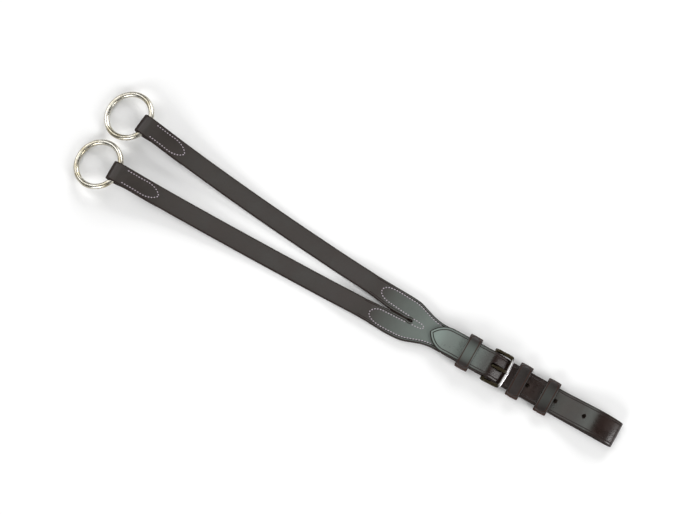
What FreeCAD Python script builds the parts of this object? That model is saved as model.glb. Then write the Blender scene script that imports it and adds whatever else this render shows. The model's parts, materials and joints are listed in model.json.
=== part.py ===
import FreeCAD, Part
import math
import os

import Sketcher

# Running martingale attachment in bridle leather, millimetres, +Z up.
# Two arms with rings, a fork, and a buckled billet loop. The stem runs along X with the loop
# at +X; lengths along it are measured from the buckle's hinge bar. A last shift puts the
# origin at the middle of the whole part's base.

SIZES = {
    # leather
    "stem_width": 25.4,
    "arm_width": 19.0,
    "strap_leather": 3.5,
    "lining_leather": 3.0,
    "billet_leather": 3.0,
    "skived_leather": 2.2,
    "keeper_leather": 2.0,
    "fit_gap": 0.3,
    "layer_gap": 0.2,
    "stem_lift": 2.3,
    # fork and stem, from the hinge bar towards the rings
    "fold_run": 14.0,
    "chape_length": 38.0,
    "fixed_end": 46.0,
    "chape_step": 50.0,
    "flare_start": 57.0,
    "flare_foot": 66.0,
    "flare_foot_half": 14.4,
    "flare_middle": 75.0,
    "flare_middle_half": 17.2,
    "flare_shoulder": 84.5,
    "flare_shoulder_half": 20.4,
    "flare_end": 99.0,
    "flare_end_half": 21.6,
    "crotch": 83.3,
    "slit_half": 0.3,
    "slit_narrow": 24.0,
    "fork_level": 95.0,
    "tab_end": 127.0,
    "tab_round": 9.0,
    "far_tab_outer": 21.8,
    "far_tab_inner": 3.0,
    "near_tab_outer": 21.0,
    "near_tab_inner": 1.8,
    "arm_hinge": 135.0,
    "near_arm_side": 11.4,
    "far_arm_side": 13.3,
    "near_splay": 0.8,
    "far_splay": 5.4,
    # arms, from their hinge to the eye that holds the ring
    "arm_length": 264.5,
    "arm_drop": 40.0,
    "rise_length": 190.0,
    "eye_height": 16.2,
    "eye_bore": 4.5,
    "eye_radius": 7.2,
    "eye_neck": 14.0,
    "eye_tab": 50.0,
    # rings
    "ring_radius": 22.75,
    "ring_wire": 2.75,
    "ring_lean": 17.0,
    # buckle
    "bar_radius": 1.8,
    "front_bar": 18.5,
    "front_bar_lift": 3.0,
    "frame_width": 34.0,
    "side_bar": 3.5,
    "frame_thickness": 3.2,
    "tongue_width": 3.4,
    "tongue_eye": 3.4,
    "tongue_bore": 2.0,
    # billet
    "tip": 64.5,
    "tip_shoulder": 17.0,
    "hole_radius": 1.9,
    "hole_pitch": 30.0,
    "first_hole": -19.5,
    "slot_middle": 7.0,
    "slot_length": 11.4,
    "under_bar": 16.6,
    "under_bar_top": 10.1,
    "loop_foot": 47.3,
    "loop_rise": 74.8,
    "loop_crest": 112.0,
    "loop_crest_top": 15.3,
    "loop_end": 136.5,
    "loop_radius": 5.0,
    "nose_slope": 25.0,
    # keepers
    "keeper_width": 13.0,
    "keeper_half": 17.0,
    "keeper_corner": 3.6,
    "buckle_keeper_rise": 1.9,
    "fixed_keeper_at": -22.5,
    "buckle_keeper_at": 32.0,
    "loop_keeper_at": 62.0,
    # stitches
    "stitch_pitch": 2.8,
    "stitch_length": 2.0,
    "stitch_width": 0.8,
    "stitch_height": 0.5,
    "stitch_inset": 3.0,
    "eye_row_straight": 28.0,
    "eye_row_length": 38.0,
    # where the middle of the base lies, set at the end
    "shift_x": 0.0,
    "shift_y": 0.0,
}

# Heights of the layers, as formulas
LIFT = "sizes.stem_lift"
RUN_TOP = "(sizes.stem_lift + sizes.billet_leather)"
RETURN_UNDER = f"({RUN_TOP} + sizes.layer_gap)"
RETURN_TOP = f"({RETURN_UNDER} + sizes.billet_leather)"
BAR_HEIGHT = f"({RUN_TOP} + sizes.skived_leather + sizes.bar_radius + sizes.fit_gap)"
FOLD_RADIUS = "(sizes.bar_radius + sizes.fit_gap + sizes.skived_leather)"
FOLD_TOP = f"({BAR_HEIGHT} + {FOLD_RADIUS})"
STACK_TOP = f"({RUN_TOP} + sizes.skived_leather + sizes.strap_leather)"
STEM_TOP = f"({RUN_TOP} + sizes.strap_leather)"
FORK_UNDER = "sizes.lining_leather"
FORK_TOP = "(sizes.lining_leather + sizes.strap_leather)"
ARM_NOSE = "(sizes.strap_leather / 2)"
STEM_HALF = "sizes.stem_width / 2"
ARM_HALF = "sizes.arm_width / 2"

doc = FreeCAD.newDocument("martingale")
sheet = doc.addObject("Spreadsheet::Sheet", "sizes")
for row, (alias, value) in enumerate(SIZES.items(), start=1):
    sheet.set(f"A{row}", alias)
    sheet.set(f"B{row}", str(value))
    sheet.setAlias(f"B{row}", alias)
doc.recompute()

nodes = {}


def number(formula):
    """The value of a formula over the sheet."""
    return float(gauge.evalExpression(formula))


gauge = doc.addObject("App::FeaturePython", "gauge")


def bind(thing, **formulas):
    for name, formula in formulas.items():
        thing.setExpression(name, formula)


def new_body(label, at_x="0", at_y="0", at_z="0", turn=None):
    """A body of its own for one piece, placed from the sheet."""
    body = doc.addObject("PartDesign::Body", label)
    body.Label = label
    if turn:
        axis, angle = turn
        body.Placement = FreeCAD.Placement(FreeCAD.Vector(), FreeCAD.Rotation(axis, number(angle)))
        body.setExpression("Placement.Rotation.Angle", angle)
    body.setExpression("Placement.Base.x", f"sizes.shift_x + {at_x}")
    body.setExpression("Placement.Base.y", f"sizes.shift_y + {at_y}")
    body.setExpression("Placement.Base.z", at_z)
    nodes[label] = body
    return body


def new_sketch(body, name, role, height=None):
    """A sketch on one of the body's own origin planes."""
    sketch = body.newObject("Sketcher::SketchObject", name)
    plane = next(item for item in body.Origin.OriginFeatures if item.Role == role)
    sketch.AttachmentSupport = (plane, [""])
    sketch.MapMode = "FlatFace"
    if height:
        sketch.setExpression("AttachmentOffset.Base.z", height)
    return sketch


def pin(sketch, geometry, end, place):
    """Hold one point of the sketch at two formulas."""
    for kind, formula in zip(("DistanceX", "DistanceY"), place):
        index = sketch.addConstraint(
            Sketcher.Constraint(kind, -1, 1, geometry, end, number(formula)))
        sketch.setExpression(f"Constraints[{index}]", formula)


def vector(place):
    return FreeCAD.Vector(number(place[0]), number(place[1]), 0)


def outline(sketch, corners):
    """A closed outline. A corner is (x, y), or (x, y, (x, y)) where an arc through that
    point leads to the next corner."""
    ends = []
    for here, following in zip(corners, corners[1:] + corners[:1]):
        start = vector(here)
        if len(here) == 2:
            side = sketch.addGeometry(Part.LineSegment(start, vector(following)))
            ends.append((side, 1, 2))
            continue
        side = sketch.addGeometry(Part.Arc(start, vector(here[2]), vector(following)))
        forward = sketch.getPoint(side, 1).distanceToPoint(start) < 1e-6
        ends.append((side, 1, 2) if forward else (side, 2, 1))
        through = sketch.addGeometry(Part.Point(vector(here[2])), True)
        sketch.addConstraint(Sketcher.Constraint("PointOnObject", through, 1, side))
        pin(sketch, through, 1, here[2])
    for index, (side, first, last) in enumerate(ends):
        pin(sketch, side, first, corners[index][:2])
        follower = ends[(index + 1) % len(ends)]
        sketch.addConstraint(Sketcher.Constraint("Coincident", side, last, follower[0], follower[1]))


def circle(sketch, x, y, radius):
    """A circle held by formulas."""
    middle = FreeCAD.Vector(number(x), number(y), 0)
    ring = sketch.addGeometry(Part.Circle(middle, FreeCAD.Vector(0, 0, 1), number(radius)))
    pin(sketch, ring, 3, (x, y))
    index = sketch.addConstraint(Sketcher.Constraint("Radius", ring, number(radius)))
    sketch.setExpression(f"Constraints[{index}]", radius)


def pad(body, sketch, name, width):
    """Extrude a sketch the same way to both sides."""
    feature = body.newObject("PartDesign::Pad", name)
    feature.Profile = sketch
    feature.SideType = "Symmetric"
    feature.setExpression("Length", width)
    return feature


def cut_up(body, sketch, name):
    """Cut a sketch upwards through everything above its plane."""
    doc.recompute()
    before = body.Shape.Volume
    feature = body.newObject("PartDesign::Pocket", name)
    feature.Profile = sketch
    feature.Type = "ThroughAll"
    feature.Reversed = True
    doc.recompute()
    if body.Shape.Volume > before - 0.5:
        raise RuntimeError(f"{body.Label}: {name} cut nothing")


def trim(body, corners):
    """Trim a body to the plan outline given by corners."""
    sketch = new_sketch(body, f"{body.Label}_plan", "XY_Plane")
    outline(sketch, corners)
    reach = "sizes.loop_end * 3"
    outline(sketch, [(f"-{reach}", f"-{reach}"), (reach, f"-{reach}"), (reach, reach), (f"-{reach}", reach)])
    cut_up(body, sketch, f"{body.Label}_trim")


def mirror(corners):
    """The same corners on the near side, in the other order. Arcs stay with their start."""
    turned = []
    for index in range(len(corners) - 1, -1, -1):
        place = (corners[index][0], f"-({corners[index][1]})")
        arc = corners[index - 1][2:] if index else ()
        turned.append(place + tuple((x, f"-({y})") for x, y in arc))
    return turned


def along(distance, height):
    """A place a distance from the hinge bar towards the rings."""
    return (f"-({distance})", height)


# Fork and stem: one split strap. Its end is skived, folded round the hinge bar and turned back.

FLARE = [
    along("sizes.flare_start", STEM_HALF) + (along("sizes.flare_foot", "sizes.flare_foot_half"),),
    along("sizes.flare_middle", "sizes.flare_middle_half")
    + (along("sizes.flare_shoulder", "sizes.flare_shoulder_half"),),
    along("sizes.flare_end", "sizes.flare_end_half"),
]


def arm_root(side, splay):
    """Outer and inner corner of one arm's root, a turning gap short of the arm's hinge."""
    reach = f"(sizes.arm_hinge - {ARM_NOSE} - sizes.fit_gap)"
    sign = "-" if side == "near" else ""
    middle = f"(sizes.{side}_arm_side - ({ARM_NOSE} + sizes.fit_gap) * tan({splay}))"
    return [(f"-{reach}", f"{sign}({middle} {step} {ARM_HALF} / cos({splay}))") for step in "+-"]


def make_fork_strap():
    body = new_body("fork_strap")
    side_view = new_sketch(body, "fork_strap_side", "XZ_Plane")
    outline(side_view, [
        along("sizes.arm_hinge", FORK_UNDER),
        along("sizes.fork_level", FORK_UNDER),
        along("sizes.chape_step", RUN_TOP),
        ("0", RUN_TOP, (FOLD_RADIUS, BAR_HEIGHT)),
        ("0", FOLD_TOP),
        along("sizes.fold_run", STACK_TOP),
        along("sizes.chape_length", STACK_TOP),
        along("sizes.chape_step", STEM_TOP),
        along("sizes.fork_level", FORK_TOP),
        along("sizes.arm_hinge", FORK_TOP),
    ])
    circle(side_view, "0", BAR_HEIGHT, "sizes.bar_radius + sizes.fit_gap")
    pad(body, side_view, "fork_strap_leather", "sizes.stem_width * 2")
    far_outer, far_inner = arm_root("far", "sizes.far_splay")
    near_outer, near_inner = arm_root("near", "sizes.near_splay")
    narrow_end = "sizes.crotch + sizes.slit_narrow"
    trim(body, [
        (FOLD_RADIUS + " + 1", f"-{STEM_HALF}"),
        (FOLD_RADIUS + " + 1", STEM_HALF),
        *FLARE,
        far_outer,
        far_inner,
        along(narrow_end, "sizes.slit_half"),
        along("sizes.crotch + 2.5", "sizes.slit_half") + (along("sizes.crotch", "0"),),
        along("sizes.crotch + 2.5", "-sizes.slit_half"),
        along(narrow_end, "-sizes.slit_half"),
        near_inner,
        near_outer,
        *mirror(FLARE),
    ])
    slot = new_sketch(body, "fork_strap_slot", "XY_Plane", RUN_TOP)
    half = "(sizes.tongue_width / 2 + 1)"
    outline(slot, [(f"-{FOLD_RADIUS} - 4", f"-{half}"), (f"{FOLD_RADIUS} + 1", f"-{half}"),
                   (f"{FOLD_RADIUS} + 1", half), (f"-{FOLD_RADIUS} - 4", half)])
    cut_up(body, slot, "fork_strap_tongue_slot")


# Lining: sewn under the fork, with a rounded tab under each arm.

def make_fork_lining():
    body = new_body("fork_lining")
    side_view = new_sketch(body, "fork_lining_side", "XZ_Plane")
    butt = "sizes.fixed_end + sizes.fit_gap"
    outline(side_view, [
        along("sizes.tab_end + 1", "0"),
        along("sizes.fork_level", "0"),
        along("sizes.chape_step", LIFT),
        along(butt, LIFT),
        along(butt, RUN_TOP),
        along("sizes.chape_step", RUN_TOP),
        along("sizes.fork_level", FORK_UNDER),
        along("sizes.tab_end + 1", FORK_UNDER),
    ])
    pad(body, side_view, "fork_lining_leather", "sizes.stem_width * 2")
    tab_start = "sizes.tab_end - sizes.tab_round"
    trim(body, [
        ("0", f"-{STEM_HALF}"),
        ("0", STEM_HALF),
        *FLARE,
        along(tab_start, "sizes.far_tab_outer") + (along("sizes.tab_end", "sizes.far_arm_side - 0.7"),),
        along(tab_start, "sizes.far_tab_inner"),
        along("sizes.crotch + sizes.slit_narrow", "sizes.slit_half"),
        along("sizes.crotch + 2.5", "sizes.slit_half") + (along("sizes.crotch", "0"),),
        along("sizes.crotch + 2.5", "-sizes.slit_half"),
        along("sizes.crotch + sizes.slit_narrow", "-sizes.slit_half"),
        along(tab_start, "-sizes.near_tab_inner") + (along("sizes.tab_end", "-sizes.near_arm_side"),),
        along(tab_start, "-sizes.near_tab_outer"),
        *mirror(FLARE),
    ])


# Arms: each a strap whose end is turned under round its ring and sewn back on itself.

def rise(distance):
    """Height of the plane between the two layers, a distance short of the eye's middle."""
    return f"(sizes.eye_height * (1 - ({distance}) / sizes.rise_length) ^ 2)"


def arm_place(distance, height):
    """A place in an arm's own side view, a distance short of the eye."""
    return (f"-(sizes.arm_length - ({distance}))", height)


def make_arm(label, side, splay):
    where = {"at_x": "-sizes.arm_hinge", "at_y": side}
    body = new_body(label, turn=(FreeCAD.Vector(0, 0, 1), splay), **where)
    side_view = new_sketch(body, f"{label}_side", "XZ_Plane")
    top = "+ sizes.strap_leather"
    under = "- sizes.skived_leather - 1"
    start = "sizes.rise_length"
    outline(side_view, [
        ("0", FORK_TOP),
        ("-sizes.arm_drop", "sizes.strap_leather"),
        arm_place(start, "sizes.strap_leather") + (arm_place("sizes.rise_length / 2", rise("sizes.rise_length / 2") + top),),
        arm_place("sizes.eye_neck", rise("sizes.eye_neck") + top),
        arm_place("1.8", "sizes.eye_height + sqrt(sizes.eye_radius ^ 2 - 1.8 ^ 2)")
        + (arm_place("-sizes.eye_radius", "sizes.eye_height"),),
        arm_place("1.8", "sizes.eye_height - sqrt(sizes.eye_radius ^ 2 - 1.8 ^ 2)"),
        arm_place("sizes.eye_neck", rise("sizes.eye_neck") + under),
        arm_place("sizes.eye_tab - 4", rise("sizes.eye_tab - 4") + under),
        arm_place("sizes.eye_tab", rise("sizes.eye_tab"))
        + (arm_place("sizes.rise_length / 2", rise("sizes.rise_length / 2")),),
        arm_place(start, "0"),
        ("-sizes.arm_drop", "0"),
        ("0", FORK_UNDER),
        (ARM_NOSE, FORK_UNDER),
        (ARM_NOSE, FORK_TOP),
    ])
    circle(side_view, "-sizes.arm_length", "sizes.eye_height", "sizes.eye_bore")
    pad(body, side_view, f"{label}_leather", "sizes.arm_width")
    past_eye = "-(sizes.arm_length + 2 * sizes.eye_radius)"
    trim(body, [(past_eye, "-sizes.arm_width"), (f"-sizes.arm_width * tan({splay})", "-sizes.arm_width"),
                (f"sizes.arm_width * tan({splay})", "sizes.arm_width"), (past_eye, "sizes.arm_width")])


def ring_offset():
    """From the eye's middle to the ring's middle: halfway between the ring's radius and the
    wire's nearest stretch at the sides of the strap."""
    chord = "sqrt(sizes.ring_radius ^ 2 - (sizes.arm_width / 2) ^ 2)"
    return number(f"(sizes.ring_radius + {chord}) / 2")


def make_ring(label, arm_label):
    ring = doc.addObject("Part::Torus", label)
    ring.Label = label
    bind(ring, Radius1="sizes.ring_radius", Radius2="sizes.ring_wire")
    rings[label] = arm_label
    nodes[label] = ring


rings = {}


def place_rings():
    """Hang each ring in its arm's eye, leaning down to the surface that the part lies on."""
    lean = FreeCAD.Rotation(FreeCAD.Vector(0, 1, 0), -sheet.get("ring_lean"))
    eye = FreeCAD.Vector(-sheet.get("arm_length"), 0, sheet.get("eye_height"))
    middle = eye + lean.multVec(FreeCAD.Vector(-ring_offset(), 0, 0))
    for label, arm_label in rings.items():
        nodes[label].Placement = nodes[arm_label].Placement * FreeCAD.Placement(middle, lean)


# Billet: sewn under the stem, folded into the loop, and brought back up through the buckle.

def make_billet():
    body = new_body("billet_strap")
    side_view = new_sketch(body, "billet_side", "XZ_Plane")
    leather = "sizes.billet_leather"
    nose_x = "(sizes.loop_end - sizes.loop_radius)"
    nose_z = f"({LIFT} + sizes.loop_radius)"
    inner = f"(sizes.loop_radius - {leather})"
    slope = "(90 - sizes.nose_slope)"

    def nose(radius, angle):
        return f"{nose_x} + {radius} * cos({angle})", f"{nose_z} + {radius} * sin({angle})"

    outline(side_view, [
        along("sizes.fixed_end", LIFT),
        (nose_x, LIFT, nose("sizes.loop_radius", "0")),
        nose("sizes.loop_radius", slope) + (("sizes.loop_crest + 11.5", "sizes.loop_crest_top - 1.2"),),
        ("sizes.loop_crest", "sizes.loop_crest_top"),
        ("sizes.loop_rise", RETURN_TOP),
        ("sizes.loop_foot", RETURN_TOP),
        ("sizes.under_bar", "sizes.under_bar_top"),
        ("3.2", f"{FOLD_TOP} + 2.4"),
        ("0", f"{FOLD_TOP} + {leather}"),
        along("sizes.fold_run", f"{STACK_TOP} + {leather}"),
        along("sizes.chape_length", f"{STACK_TOP} + {leather}"),
        along("sizes.chape_step", f"{STEM_TOP} + {leather}"),
        along("sizes.tip + 1", f"{STEM_TOP} + {leather} - 0.8"),
        along("sizes.tip + 1", f"{STEM_TOP} - 0.8"),
        along("sizes.chape_step", STEM_TOP),
        along("sizes.chape_length", STACK_TOP),
        along("sizes.fold_run", STACK_TOP),
        ("0", FOLD_TOP),
        ("1.9", f"{FOLD_TOP} - 0.3"),
        ("sizes.under_bar - 0.6", f"sizes.under_bar_top - {leather} + 0.05"),
        ("sizes.loop_foot", RETURN_UNDER),
        ("sizes.loop_rise + 0.3", RETURN_UNDER),
        ("sizes.loop_crest - 0.3", f"sizes.loop_crest_top - {leather}",
         ("sizes.loop_crest + 10.6", f"sizes.loop_crest_top - {leather} - 1.0")),
        nose(inner, slope) + (nose(inner, "0"),),
        (nose_x, f"{nose_z} - {inner}"),
        along("sizes.fixed_end", RUN_TOP),
    ])
    pad(body, side_view, "billet_leather", "sizes.stem_width")
    shoulder = "sizes.tip - sizes.tip_shoulder"
    belly = "sizes.tip - 6.5"
    trim(body, [
        ("sizes.loop_end + 1", f"-{STEM_HALF}"),
        ("sizes.loop_end + 1", STEM_HALF),
        along(shoulder, STEM_HALF) + (along(belly, "8"),),
        along("sizes.tip", "0") + (along(belly, "-8"),),
        along(shoulder, f"-{STEM_HALF}"),
    ])
    holes = new_sketch(body, "billet_holes", "XY_Plane", f"{RUN_TOP} + sizes.layer_gap / 2")
    for index in (0, 2, 3, 4):
        circle(holes, f"sizes.first_hole + {index} * sizes.hole_pitch", "0", "sizes.hole_radius")
    run = "(sizes.slot_length / 2 - sizes.hole_radius - 0.3)"
    half = "(sizes.hole_radius + 0.3)"
    outline(holes, [
        (f"sizes.slot_middle - {run}", f"-{half}"),
        (f"sizes.slot_middle + {run}", f"-{half}", (f"sizes.slot_middle + {run} + {half}", "0")),
        (f"sizes.slot_middle + {run}", half),
        (f"sizes.slot_middle - {run}", half, (f"sizes.slot_middle - {run} - {half}", "0")),
    ])
    cut_up(body, holes, "billet_hole_cut")


# Buckle: a bowed frame with a straight hinge bar, and a flat tongue curled round that bar.

def frame_angle():
    return "-atan(sizes.front_bar_lift / sizes.front_bar)"


def make_buckle_frame():
    turn = (FreeCAD.Vector(0, 1, 0), frame_angle())
    body = new_body("buckle_frame", at_z=BAR_HEIGHT, turn=turn)
    plan = new_sketch(body, "frame_plan", "XY_Plane")
    outer = "sizes.frame_width / 2"
    inner = "(sizes.frame_width / 2 - sizes.side_bar)"
    back = "-sizes.bar_radius - 0.4"
    front = "sizes.front_bar"
    outline(plan, [
        (back, f"-{outer}"),
        (f"{front} - 3", f"-{outer}", (f"{front} + 0.1", f"-{outer} + 1.4")),
        (f"{front} + 1.1", f"-{outer} + 5", (f"{front} + 1.9", "0")),
        (f"{front} + 1.1", f"{outer} - 5", (f"{front} + 0.1", f"{outer} - 1.4")),
        (f"{front} - 3", outer),
        (back, outer),
        (back, inner),
        (f"{front} - 4", inner, (f"{front} - 2.6", f"{inner} - 0.6")),
        (f"{front} - 2.1", f"{inner} - 2", (f"{front} - 1.5", "0")),
        (f"{front} - 2.1", f"-{inner} + 2", (f"{front} - 2.6", f"-{inner} + 0.6")),
        (f"{front} - 4", f"-{inner}"),
        (back, f"-{inner}"),
    ])
    pad(body, plan, "frame_staple", "sizes.frame_thickness")
    bar = new_sketch(body, "hinge_bar_end", "XZ_Plane")
    circle(bar, "0", "0", "sizes.bar_radius")
    pad(body, bar, "hinge_bar", "sizes.frame_width - sizes.side_bar")


def make_buckle_tongue():
    body = new_body("buckle_tongue", at_z=BAR_HEIGHT)
    side_view = new_sketch(body, "tongue_side", "XZ_Plane")
    tip = "sizes.front_bar + 1.8"
    outline(side_view, [
        ("1.5", "-0.3"),
        ("sizes.front_bar - 1.5", "sizes.front_bar_lift + 1.75"),
        (tip, "sizes.front_bar_lift + 2.75"),
        (f"{tip} - 0.4", "sizes.front_bar_lift + 4.1"),
        ("sizes.front_bar - 2.1", "sizes.front_bar_lift + 3.65"),
        ("0.5", "2.2"),
    ])
    pad(body, side_view, "tongue_bar", "sizes.tongue_width")
    curl = new_sketch(body, "tongue_curl", "XZ_Plane")
    circle(curl, "0", "0", "sizes.tongue_eye")
    pad(body, curl, "tongue_eye", "sizes.tongue_width")
    bore = new_sketch(body, "tongue_bore_end", "XZ_Plane")
    circle(bore, "0", "0", "sizes.tongue_bore")
    hole = body.newObject("PartDesign::Pocket", "tongue_bore_cut")
    hole.Profile = bore
    hole.Type = "ThroughAll"
    hole.SideType = "Symmetric"


# Keepers: closed leather loops. One is fast at the buckle, two slide on the doubled billet.

def keeper_outline(low, high, half, corner):
    """A rounded loop outline between two heights."""
    shift = f"{corner} * (1 - cos(45))"
    return [
        (f"-{half} + {corner}", low),
        (f"{half} - {corner}", low, (f"{half} - {shift}", f"{low} + {shift}")),
        (half, f"{low} + {corner}"),
        (half, f"{high} - {corner}", (f"{half} - {shift}", f"{high} - {shift}")),
        (f"{half} - {corner}", high),
        (f"-{half} + {corner}", high, (f"-{half} + {shift}", f"{high} - {shift}")),
        (f"-{half}", f"{high} - {corner}"),
        (f"-{half}", f"{low} + {corner}", (f"-{half} + {shift}", f"{low} + {shift}")),
    ]


def make_keeper(label, at, low, high):
    """A keeper round the layers between two heights, with its leather outside them."""
    body = new_body(label, at_x=at)
    loop = new_sketch(body, f"{label}_loop", "YZ_Plane")
    leather = "sizes.keeper_leather"
    outline(loop, keeper_outline(f"({low} - {leather})", f"({high} + {leather})", "sizes.keeper_half",
                                 "sizes.keeper_corner"))
    outline(loop, keeper_outline(low, high, f"(sizes.keeper_half - {leather})",
                                 f"(sizes.keeper_corner - {leather} / 2)"))
    pad(body, loop, f"{label}_leather", "sizes.keeper_width")


# Stitches: short separate threads lying half sunk in the leather.

def path_points(corners):
    """Places one pitch apart along lines and arcs, with the heading at each."""
    sides = []
    for here, following in zip(corners, corners[1:]):
        start, end = FreeCAD.Vector(*here[:2], 0), FreeCAD.Vector(*following[:2], 0)
        if len(here) == 2:
            sides.append(Part.LineSegment(start, end).toShape())
        else:
            sides.append(Part.Arc(start, FreeCAD.Vector(*here[2], 0), end).toShape())
    pitch = sheet.get("stitch_pitch")
    places = Part.Wire(sides).discretize(Distance=pitch)
    return [((a + b) / 2, b - a) for a, b in zip(places, places[1:]) if (b - a).Length > pitch / 2]


def stitch(middle, heading):
    """One stitch, a short bar along its heading."""
    length, width, height = (sheet.get(f"stitch_{name}") for name in ("length", "width", "height"))
    bar = Part.makeBox(length, width, height, FreeCAD.Vector(-length / 2, -width / 2, -height / 2))
    yaw = math.degrees(math.atan2(heading.y, heading.x))
    pitch = -math.degrees(math.atan2(heading.z, math.hypot(heading.x, heading.y)))
    bar.Placement = FreeCAD.Placement(middle, FreeCAD.Rotation(yaw, pitch, 0))
    return bar


def make_stitches(label, rows, surface, carrier=None):
    """A node of stitches along rows, at the height that surface gives for each place."""
    bars = []
    for row in rows:
        for middle, heading in path_points(row):
            middle.z = surface(middle.x)
            ahead = middle + heading
            heading.z = surface(ahead.x) - middle.z
            bars.append(stitch(middle, heading))
    thread = doc.addObject("Part::Feature", label)
    thread.Label = label
    thread.Shape = Part.makeCompound(bars)
    stitched[label] = carrier
    nodes[label] = thread


stitched = {}


def level(stations, x):
    """Height of a surface given by (x, height) stations in falling x."""
    for (x_high, z_high), (x_low, z_low) in zip(stations, stations[1:]):
        if x_low <= x <= x_high:
            return z_low + (z_high - z_low) * (x - x_low) / (x_high - x_low)
    return stations[-1][1] if x < stations[-1][0] else stations[0][1]


def fork_surface(x):
    """Top of the fork and stem."""
    return level([(-sheet.get("fold_run"), number(STACK_TOP)), (-sheet.get("chape_length"), number(STACK_TOP)),
                  (-sheet.get("chape_step"), number(STEM_TOP)), (-sheet.get("fork_level"), number(FORK_TOP))], x)


def arm_surface(x):
    """Top of an arm near its ring, in the arm's own frame."""
    short = x + sheet.get("arm_length")
    return number(rise(f"{short}")) + sheet.get("strap_leather")


def make_all_stitches():
    inset = sheet.get("stitch_inset")
    half = sheet.get("arm_width") / 2 - inset
    start = -sheet.get("arm_length") + sheet.get("eye_neck") - 5
    shoulder, tip = start + sheet.get("eye_row_straight"), start + sheet.get("eye_row_length")
    eye_row = [(start, half), (shoulder, half, (shoulder + 7, half * 0.75)), (tip, 0, (shoulder + 7, -half * 0.75)),
               (shoulder, -half), (start, -half)]
    make_stitches("near_eye_stitches", [eye_row], arm_surface, "near_arm_strap")
    make_stitches("far_eye_stitches", [eye_row], arm_surface, "far_arm_strap")
    flare = [[number(item) for item in corner[:2]] for corner in FLARE]
    edge = [(x, y - inset) for x, y in flare]
    far_row = [edge[0], edge[1], edge[2], (-116, 18.8, (-124, 12.6)), (-117, 6.3), (-88, 3.4)]
    near_row = [(x, -y) for x, y in edge] + [(-116, -18.2, (-124.4, -11.4)), (-117, -4.6), (-88, -3.4)]
    make_stitches("far_tab_stitches", [far_row], fork_surface)
    make_stitches("near_tab_stitches", [near_row], fork_surface)
    crotch = -sheet.get("crotch")
    make_stitches("crotch_stitches", [[(crotch - 1, 2.8), (crotch + 9, 2.2, (crotch + 12.5, 0)),
                                       (crotch + 9, -2.2), (crotch - 1, -2.8)]], fork_surface)
    side = sheet.get("stem_width") / 2 - inset
    first, last = -sheet.get("fold_run") - 1, -sheet.get("chape_length") + 2
    make_stitches("chape_stitches", [[(first, side), (last, side)], [(first, -side), (last, -side)]], fork_surface)
    reach = sheet.get("keeper_width") / 2 - 2
    for label, at, low in (("fixed_keeper", "fixed_keeper_at", number(f"{LIFT} - sizes.keeper_leather")),
                           ("buckle_keeper", "buckle_keeper_at", 0.0), ("loop_keeper", "loop_keeper_at", 0.0)):
        middle = sheet.get(at)
        height = low + sheet.get("stitch_height") / 2
        rows = [[(middle - reach, y), (middle + reach, y)] for y in (-2.2, 2.2)]
        make_stitches(f"{label}_stitches", rows, lambda x, z=height: z)


def place_stitches():
    for label, carrier in stitched.items():
        if carrier:
            nodes[label].Placement = nodes[carrier].Placement
        else:
            shift = FreeCAD.Vector(sheet.get("shift_x"), sheet.get("shift_y"), 0)
            nodes[label].Placement = FreeCAD.Placement(shift, FreeCAD.Rotation())


def centre_on_base():
    """Move the origin to the middle of the whole part's base."""
    box = FreeCAD.BoundBox()
    for node in nodes.values():
        box.add(node.Shape.BoundBox)
    for alias, middle in (("shift_x", box.Center.x), ("shift_y", box.Center.y)):
        sheet.set(alias, f"{-middle:.3f}")
    settle()


def settle():
    doc.recompute()
    place_rings()
    place_stitches()
    doc.recompute()


def check():
    """Stop if any object failed or any piece isn't a sound solid."""
    for item in doc.Objects:
        if {"Invalid", "Error"} & set(item.State):
            raise RuntimeError(f"{item.Label} is {item.State}")
    for label, node in nodes.items():
        if node.Shape.isNull() or not node.Shape.isValid():
            raise RuntimeError(f"{label} has no sound shape")
        if not node.Shape.Solids:
            raise RuntimeError(f"{label} has no solid")


make_fork_strap()
make_fork_lining()
make_arm("near_arm_strap", "-sizes.near_arm_side", "sizes.near_splay")
make_arm("far_arm_strap", "sizes.far_arm_side", "-sizes.far_splay")
make_ring("near_ring", "near_arm_strap")
make_ring("far_ring", "far_arm_strap")
make_billet()
make_buckle_frame()
make_buckle_tongue()
make_keeper("fixed_keeper", "sizes.fixed_keeper_at", LIFT, f"({STACK_TOP} + sizes.billet_leather)")
make_keeper("buckle_keeper", "sizes.buckle_keeper_at", "sizes.keeper_leather",
            f"({RETURN_TOP} + sizes.buckle_keeper_rise)")
make_keeper("loop_keeper", "sizes.loop_keeper_at", "sizes.keeper_leather", f"({RETURN_TOP} + sizes.fit_gap)")
make_all_stitches()
settle()
centre_on_base()
check()

os.makedirs("parts", exist_ok=True)
for label, node in nodes.items():
    node.Shape.exportStep(f"parts/{label}.step")
    print(label, len(node.Shape.Solids), round(node.Shape.Volume, 1))
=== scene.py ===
import json
import math

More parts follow.
